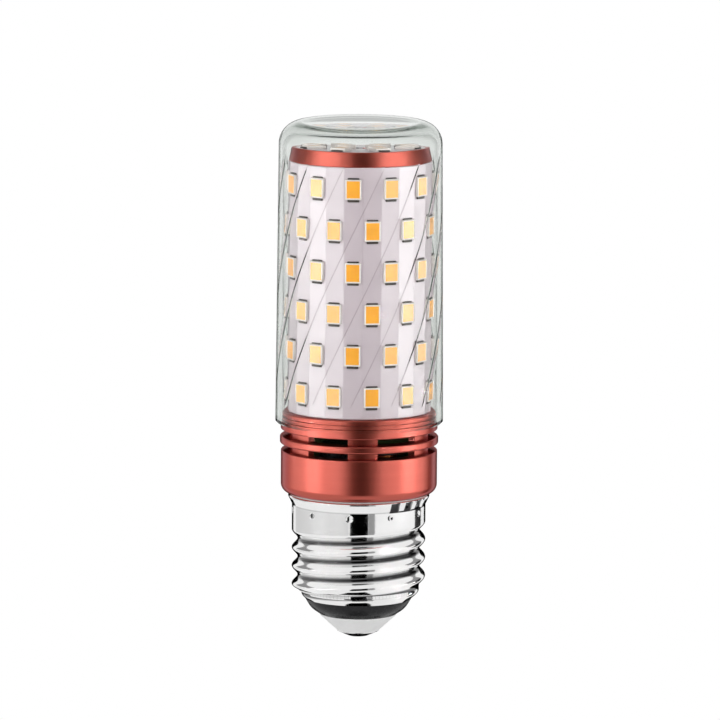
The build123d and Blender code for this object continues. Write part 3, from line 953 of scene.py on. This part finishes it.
def led_parts(back, middle):
    """One LED at the front: its package with a sunk window, its phosphor and its two leads."""
    face = back - LED_T
    window = face + WINDOW_SINK

    def fill_package(grid):
        block(grid, LED_W, face, back, middle - LED_H / 2, middle + LED_H / 2)
        eased(grid, LED_EDGE)
        front = min(grid.faces, key=lambda f: f.calc_center_median().y)
        bmesh.ops.inset_region(grid, faces=[front], thickness=LED_BORDER - LED_EDGE)
        bmesh.ops.translate(grid, vec=(0.0, WINDOW_SINK, 0.0), verts=front.verts)

    def fill_window(grid):
        width, half = LED_W - 2 * LED_BORDER, LED_H / 2 - LED_BORDER
        depths = (window - WINDOW_PROUD, window + WINDOW_T)
        block(grid, width, *depths, middle - half, middle + half)
        eased(grid, WINDOW_EDGE)

    def fill_leads(grid):
        for edge, reach in ((LED_H / 2, UPPER_LEAD_H), (-LED_H / 2, LOWER_LEAD_H)):
            level = middle + edge
            block(grid, LEAD_W, back - LEAD_T, back, level - reach, level + reach)
        eased(grid, LEAD_EDGE)

    fills = {"package": fill_package, "window": fill_window, "leads": fill_leads}
    return [flat_faced(piece_from(name, fill), LED_FLAT_AREA) for name, fill in fills.items()]


def led_rows(names, parts, nodes, **values):
    """Dresses rows of LEDs: packages, phosphor and leads."""
    finishes = ((led_white, "led_body"), (phosphor, "phosphor"), (shaded_solder, "nickel"))
    for name, part, (material, slot), replaced in zip(names, parts, finishes, (*nodes, ())):
        dressed(repeated(name, part, material, **values), material, slot, *replaced)


led_rows(
    ("led_packages", "led_windows", "led_leads"),
    led_parts(-BOARD_APOTHEM, TOP_ROW_Z),
    [[f"led_row_{row + 1}_{kind}" for row in range(LED_ROWS)] for kind in ("packages", "phosphor")],
    count=LEDS_PER_ROW,
    rows=LED_ROWS,
    first_angle=LED_FIRST,
    row_rise=-ROW_PITCH,
    row_turn=pi / LEDS_PER_ROW,
)

# Top ring: a tapered aluminium ring, turned and anodised like the collar. It plugs the upper end of
# the board tube and seats the round top board.
RING_BORE_R = 10.8 * MM
RING_SPIGOT_R = 13.0 * MM
RING_TOP_R = 13.3 * MM
RING_FOOT_EDGE = 0.12 * MM
RING_TOP_EDGE = 0.15 * MM
RING_SEAT_EDGE = 0.05 * MM
ring_low, ring_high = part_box("top_ring")
top_board_low, top_board_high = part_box("top_board")
ring = turned("top_board_ring", [
    (RING_BORE_R, ring_low.z, INNER_EDGE),
    (RING_SPIGOT_R, ring_low.z, OUTER_EDGE),
    (RING_SPIGOT_R, board_high.z, 0.0),
    (BOARD_APOTHEM, board_high.z, RING_FOOT_EDGE),
    (RING_TOP_R, ring_high.z, RING_TOP_EDGE),
    (top_board_high.x, ring_high.z, RING_SEAT_EDGE),
    (top_board_high.x, top_board_low.z, 0.0),
    (RING_BORE_R, top_board_low.z, INNER_EDGE),
])
dressed(ring, rose_gold, "rose_gold", "top_ring")

# Top board: a round white circuit board that drops into the ring. Its feed wires come up through
# the hole in its middle, and two rings of LEDs face up.
TOP_HOLE_R = 1.8 * MM
TOP_BOARD_EDGE = 0.08 * MM
# A ring has its number of LEDs, its radius and the angle of its first LED.
TOP_RINGS = {"inner": (4, 4.7 * MM, radians(45.0)), "outer": (8, 9.7 * MM, radians(22.5))}
top_board = turned("round_board", [
    (TOP_HOLE_R, top_board_low.z, INNER_EDGE),
    (top_board_high.x, top_board_low.z, 0.0),
    (top_board_high.x, top_board_high.z, TOP_BOARD_EDGE),
    (TOP_HOLE_R, top_board_high.z, INNER_EDGE),
])
dressed(top_board, board_white, "white_board", "top_board")
for ring_name, (count, radius, first) in TOP_RINGS.items():
    parts = led_parts(0.0, 0.0)
    for part in parts:
        for vertex in part.data.vertices:
            x, y, z = vertex.co
            vertex.co = (x, -radius + z, top_board_high.z - y)
        part.data.update()
    led_rows(
        [f"top_{ring_name}_{kind}" for kind in ("packages", "windows", "leads")],
        parts,
        [[f"top_{ring_name}_led_{kind}"] for kind in ("packages", "phosphor")],
        count=count,
        first_angle=first,
    )

# Clear cover: one moulding of clear plastic with a thick round shoulder, drafted towards its top.
# Twelve fine ribs swirl up the inside of its wall, with painted shade along their crests. It
# snaps on the collar's spigot and rests on the flange.
COVER_BORE_R = 15.15 * MM
COVER_SHOULDER_R = 15.95 * MM
SHOULDER_ARC = 4.4 * MM
COVER_TOP_WALL = 0.5 * MM
CEILING_RISE = 0.9 * MM
COVER_FOOT_EDGE = 0.35 * MM
WALL_ROWS = 48
CAP_ROWS = 24
CEILING_ROWS = 10
RIB_COUNT = 12
RIB_COLUMNS = 16
RIB_FIRST = radians(-9.0)
RIB_LEAD = 200.0 * MM
RIB_BOTTOM = 46.0 * MM
RIB_TOP = 95.5 * MM
RIB_FADE = 2.0 * MM
RIB_H = 0.14 * MM
RIB_HALF = radians(1.5)
RIB_SHADE_MARK = "rib"
RIB_SHADE_LEVELS = (0.55, 1.0)
RIB_SHADE_TONE = (0.62, 0.57, 0.55)
COVER_TONES = ((0.985, 0.99, 0.985), (0.97, 0.975, 0.97))
COVER_ROUGHNESS = (0.0, 0.02)
COVER_GRAIN = 120.0
COVER_STRETCH = (1.0, 1.0, 0.3)
COVER_IOR = 1.25
COVER_GLARE = (0.15, 0.15, 0.15)
COVER_DEEP_TONE = (0.63, 0.67, 0.64)
COVER_DENSITY = 290.0


def cover_outside():
    """Radii and heights up the outside, from the cover's foot to the middle of its top."""
    flat_r = COVER_SHOULDER_R - SHOULDER_ARC
    shoulder_z = cover_high.z - SHOULDER_ARC
    foot_z = cover_low.z + COVER_FOOT_EDGE
    outside = [(cover_high.x - COVER_FOOT_EDGE, cover_low.z), (cover_high.x, foot_z)]
    for i in range(1, WALL_ROWS + 1):
        level = i / WALL_ROWS
        draft = (COVER_SHOULDER_R - cover_high.x) * level
        outside.append((cover_high.x + draft, foot_z + (shoulder_z - foot_z) * level))
    for i in range(1, CAP_ROWS + 1):
        turn = pi / 2 * i / CAP_ROWS
        outside.append((flat_r + SHOULDER_ARC * cos(turn), shoulder_z + SHOULDER_ARC * sin(turn)))
    return outside + [(flat_r / 2, cover_high.z), (0.0, cover_high.z)]


def cover_inside():
    """Radii and heights down the inside, from the middle of the ceiling to the cover's foot."""
    flat_r = COVER_SHOULDER_R - SHOULDER_ARC
    arc = COVER_BORE_R - flat_r
    ceiling = cover_high.z - COVER_TOP_WALL
    bore_top = ceiling - CEILING_RISE - arc
    inside = []
    for k in range(CEILING_ROWS):
        dome = CEILING_RISE * (k / CEILING_ROWS) ** 2
        inside.append((flat_r * k / CEILING_ROWS, ceiling - dome))
    for i in range(CAP_ROWS + 1):
        turn = pi / 2 * (1.0 - i / CAP_ROWS)
        inside.append((flat_r + arc * cos(turn), bore_top + arc * sin(turn)))
    rows = 2 * WALL_ROWS
    for i in range(1, rows + 1):
        inside.append((COVER_BORE_R, bore_top + (cover_low.z - bore_top) * i / rows))
    return inside


def rib_height(share, height):
    """How far a rib stands in from the bore, at an angle from its middle and at a height."""
    ends = min(height - RIB_BOTTOM, RIB_TOP - height) / RIB_FADE
    return RIB_H * max(1.0 - abs(share) / RIB_HALF, 0.0) * min(max(ends, 0.0), 1.0)


def fill_cover(grid):
    """The outside and the inside of the cover as one skin, all turned along with the ribs."""
    half = RIB_COLUMNS // 2
    near = [RIB_HALF * (k / half) for k in range(-half, half + 1)]
    gap = 2 * pi / RIB_COUNT - 2 * RIB_HALF
    far = [RIB_HALF + gap * k / half for k in range(1, half)]
    columns = []
    for rib in range(RIB_COUNT):
        start = RIB_FIRST + 2 * pi * rib / RIB_COUNT
        columns += [(start + share, share) for share in near]
        columns += [(start + share, pi) for share in far]

    def row(radius, height, rise):
        twist = 2 * pi * (height - RIB_BOTTOM) / RIB_LEAD
        return [on_circle(radius - rise(s, height), a + twist, height) for a, s in columns]

    rows = [row(r, z, lambda share, height: 0.0) for r, z in cover_outside()]
    loft(grid, rows + [row(r, z, rib_height) for r, z in cover_inside()])
    # The mark of painted shade on the rib crests.
    mark = grid.verts.layers.float.new(RIB_SHADE_MARK)
    for vert in grid.verts:
        if RIB_BOTTOM < vert.co.z < RIB_TOP:
            vert[mark] = max(COVER_BORE_R - vert.co.xy.length, 0.0) / RIB_H


cover = piece_from("cover_moulding", fill_cover)
clear_plastic = new_material("clear_moulding")
clear_tree = clear_plastic.node_tree
clear_inputs = shader_of(clear_plastic).inputs
clear_inputs["Transmission Weight"].default_value = 1.0
clear_inputs["IOR"].default_value = COVER_IOR
clear_inputs["Specular Tint"].default_value = (*COVER_GLARE, 1.0)
flow = noise(clear_tree, COVER_GRAIN, COVER_STRETCH)
clear_tones = mixed(clear_tree, spread(clear_tree, flow, 0.0, 1.0), *COVER_TONES)
clear_tree.links.new(clear_tones, clear_inputs["Base Color"])
clear_tree.links.new(spread(clear_tree, flow, *COVER_ROUGHNESS), clear_inputs["Roughness"])
# Painted shade: the rib crests are tinted darker.
toned(clear_plastic, RIB_SHADE_MARK, RIB_SHADE_LEVELS, RIB_SHADE_TONE)
depth_tone = added(clear_tree, "ShaderNodeVolumeAbsorption", Density=COVER_DENSITY)
depth_tone.inputs["Color"].default_value = (*COVER_DEEP_TONE, 1.0)
clear_tree.links.new(depth_tone.outputs[0], clear_tree.nodes["Material Output"].inputs["Volume"])
cover.visible_shadow = False
dressed(cover, clear_plastic, "clear_plastic", "clear_cover")

# Studio: a pale floor, shaded under the bulb and white far off, with soft lamps low and high at
# both sides and a key lamp above the camera. Cards that only gloss shows stand round the bulb: dark
# in front, behind and below, grey and high at the back, and pale at left.
CAMERA_REACH = 1.4
CAMERA_HEIGHT = 0.262
CAMERA_ROLL = radians(0.32)
CAMERA_SIGHT = 50.0
AIM_X = 0.1 * MM
AIM_Z = 54.6 * MM
PIXELS_PER_MM = 5.115
IMAGE_PIXELS = 720
SENSOR_MM = 36.0
WHITE = (1.0, 1.0, 1.0, 1.0)
FLOOR_Z = -0.3
FLOOR_REACH = 6.0
FLOOR_WHITENS = (0.45, 1.2)
FILL_LIGHT = 0.4
LIGHT_BOUNCES = 40
# A lamp's degrees to the right, its width in degrees, its lower and upper edge, and its radiance.
LAMP_REACH = 0.8
LAMPS = {
    "left_edge": (-102.0, 30.0, -0.085, 0.03, 2.0),
    "left_lamp": (-70.0, 30.0, -0.085, 0.03, 5.8),
    "left_fill": (-37.0, 28.0, -0.085, 0.03, 2.6),
    "left_upper": (-57.0, 46.0, 0.12, 0.5, 1.9),
    "right_edge": (108.0, 28.0, -0.085, 0.03, 2.0),
    "right_lamp": (78.0, 28.0, -0.085, 0.03, 6.2),
    "right_fill": (45.0, 30.0, -0.085, 0.03, 1.5),
    "right_upper": (57.0, 46.0, 0.12, 0.5, 1.9),
}
KEY_REACH = 1.2
KEY_HEIGHT = 0.75
KEY_SIZE = 0.9
KEY_RADIANCE = 2.6
# A card's degrees to the right, its width in degrees, its distance, its lower and upper edge, and
# its glow. A card below the bulb has half its width, its near edge and its far edge instead.
CARDS = {
    "front_card": (1.0, 31.0, 0.55, -0.22, 0.45, 0.0),
    "front_edge": (22.5, 11.0, 0.55, -0.22, 0.45, 0.35),
    "back_card": (180.0, 56.0, 0.4, -0.25, 0.125, 0.0),
    "right_card": (124.0, 22.0, 0.5, -0.25, 0.125, 0.02),
    "left_card": (-78.0, 122.0, 0.95, -0.28, -0.09, 0.75),
    "left_high": (-116.0, 44.0, 0.9, 0.1, 0.6, 0.3),
    "right_high": (116.0, 44.0, 0.9, 0.1, 0.6, 0.3),
}
CARD_STEPS = 24
FOOT_CARDS = {"foot_card": (0.05, -0.1, 0.12), "tip_card": (0.075, 0.17, 0.8)}
FOOT_CARD_Z = -0.26

camera_data = bpy.data.cameras.new("camera")
camera = placed("camera", camera_data)
scene.camera = camera
aim = Vector((AIM_X, 0.0, AIM_Z))
camera.location = (AIM_X, -CAMERA_REACH, CAMERA_HEIGHT)
sight = aim - camera.location
level = sight.to_track_quat("-Z", "Y")
camera.rotation_euler = (level @ Quaternion((0.0, 0.0, 1.0), CAMERA_ROLL)).to_euler()
camera_data.sensor_width = SENSOR_MM
camera_data.lens = SENSOR_MM * PIXELS_PER_MM * sight.length / MM / IMAGE_PIXELS
camera_data.clip_end = CAMERA_SIGHT


def lamp_at(name, place, width, height, radiance):
    """A soft lamp that lights the bulb straight, past the clear cover."""
    data = bpy.data.lights.new(name, "AREA")
    data.shape = "RECTANGLE"
    data.size = width
    data.size_y = height
    data.energy = radiance * pi * width * height
    data.cycles.use_multiple_importance_sampling = False
    lamp = placed(name, data)
    lamp.location = place
    lamp.visible_camera = False
    lamp.visible_transmission = False
    return lamp


for lamp_name, (degrees_off, span, low, high, radiance) in LAMPS.items():
    place = on_circle(LAMP_REACH, radians(degrees_off), (low + high) / 2)
    width = 2 * LAMP_REACH * tan(radians(span) / 2)
    lamp = lamp_at(lamp_name, place, width, high - low, radiance)
    lamp.rotation_euler = (pi / 2, 0.0, radians(degrees_off))
key_lamp = lamp_at("key_lamp", (0.0, -KEY_REACH, KEY_HEIGHT), KEY_SIZE, KEY_SIZE, KEY_RADIANCE)
key_lamp.rotation_euler = (aim - key_lamp.location).to_track_quat("-Z", "Y").to_euler()
key_lamp.visible_glossy = False


def shaded(tree, share, one, other):
    """One shader going over to another."""
    mix = tree.nodes.new("ShaderNodeMixShader")
    for socket, source in zip(mix.inputs, (share, one, other)):
        tree.links.new(source, socket)
    return mix.outputs[0]


def card_paint(name, glow):
    """One even tone that shows in gloss, and lets all other sight pass."""
    material = new_material(name)
    tree = material.node_tree
    work = partial(reckon, tree)
    path = added(tree, "ShaderNodeLightPath").outputs
    mirrored = work("GREATER_THAN", path["Glossy Depth"], 0.5)
    # After one to three passes the sight is still within the cover.
    in_cover = work("COMPARE", path["Transmission Depth"], 2.0, 1.5)
    seen = work("GREATER_THAN", mirrored, in_cover)
    clear = added(tree, "ShaderNodeBsdfTransparent").outputs[0]
    tone = added(tree, "ShaderNodeEmission", Strength=glow).outputs[0]
    surface = tree.nodes["Material Output"].inputs["Surface"]
    tree.links.new(shaded(tree, seen, clear, tone), surface)
    return material


def hung(name, rows, glow):
    """A card through rows of points, which the camera, plain light and clear plastic pass."""

    def fill(grid):
        lines = [[grid.verts.new(point) for point in row] for row in rows]
        for lower, upper in zip(lines, lines[1:]):
            for k in range(len(lower) - 1):
                grid.faces.new((lower[k], lower[k + 1], upper[k + 1], upper[k]))

    card = piece_from(name, fill)
    card.data.materials.append(card_paint(name + "_paint", glow))
    card.visible_camera = False
    card.visible_diffuse = False
    card.visible_shadow = False


for card_name, (degrees_off, span, reach, low, high, glow) in CARDS.items():
    angles = [radians(degrees_off + span * (k / CARD_STEPS - 0.5)) for k in range(CARD_STEPS + 1)]
    hung(card_name, [[on_circle(reach, a, z) for a in angles] for z in (low, high)], glow)
for card_name, (half, near, far) in FOOT_CARDS.items():
    hung(card_name, [[(x, y, FOOT_CARD_Z) for x in (-half, half)] for y in (near, far)], 0.0)


def shown_white(tree, shade, kind, far=1.0):
    """White where gloss or clear plastic looks, or the camera looks far off, and else a shade."""
    work = partial(reckon, tree)
    path = added(tree, "ShaderNodeLightPath").outputs
    seen = work("MULTIPLY", path["Is Camera Ray"], far)
    for label in ("Is Glossy Ray", "Is Transmission Ray"):
        seen = work("MAXIMUM", seen, path[label])
    direct = work("LESS_THAN", path["Diffuse Depth"], 0.5)
    white = added(tree, kind, Color=WHITE).outputs[0]
    return shaded(tree, work("MULTIPLY", seen, direct), shade, white)


world = bpy.data.worlds.new("studio")
world.use_nodes = True
scene.world = world
world_tree = world.node_tree
world_fill = world_tree.nodes["Background"]
world_fill.inputs["Color"].default_value = WHITE
world_fill.inputs["Strength"].default_value = FILL_LIGHT
world_shade = shown_white(world_tree, world_fill.outputs[0], "ShaderNodeBackground")
world_tree.links.new(world_shade, world_tree.nodes["World Output"].inputs["Surface"])


def fill_floor(grid):
    """One wide face."""
    corners = [(-FLOOR_REACH, -FLOOR_REACH), (FLOOR_REACH, -FLOOR_REACH)]
    corners += [(FLOOR_REACH, FLOOR_REACH), (-FLOOR_REACH, FLOOR_REACH)]
    grid.faces.new([grid.verts.new((x, y, FLOOR_Z)) for x, y in corners])


floor = piece_from("floor", fill_floor)
floor_paint = finish(
    "floor_paint",
    ((0.9, 0.9, 0.9), (0.88, 0.88, 0.88)),
    roughness=(0.7, 0.9),
    grain=3.0,
    depth=0.1 * MM,
)
floor_tree = floor_paint.node_tree
floor_place = added(floor_tree, "ShaderNodeTexCoord").outputs["Object"]
floor_way = floor_tree.nodes.new("ShaderNodeVectorMath")
floor_way.operation = "LENGTH"
floor_tree.links.new(floor_place, floor_way.inputs[0])
floor_far = ranged(floor_tree, floor_way.outputs["Value"], *FLOOR_WHITENS, smooth=True)
floor_plain = shader_of(floor_paint).outputs[0]
floor_shade = shown_white(floor_tree, floor_plain, "ShaderNodeEmission", floor_far)
floor_tree.links.new(floor_shade, floor_tree.nodes["Material Output"].inputs["Surface"])
floor.data.materials.append(floor_paint)

scene.view_settings.view_transform = "Standard"
scene.cycles.max_bounces = LIGHT_BOUNCES
scene.cycles.transmission_bounces = LIGHT_BOUNCES
scene.cycles.glossy_bounces = LIGHT_BOUNCES
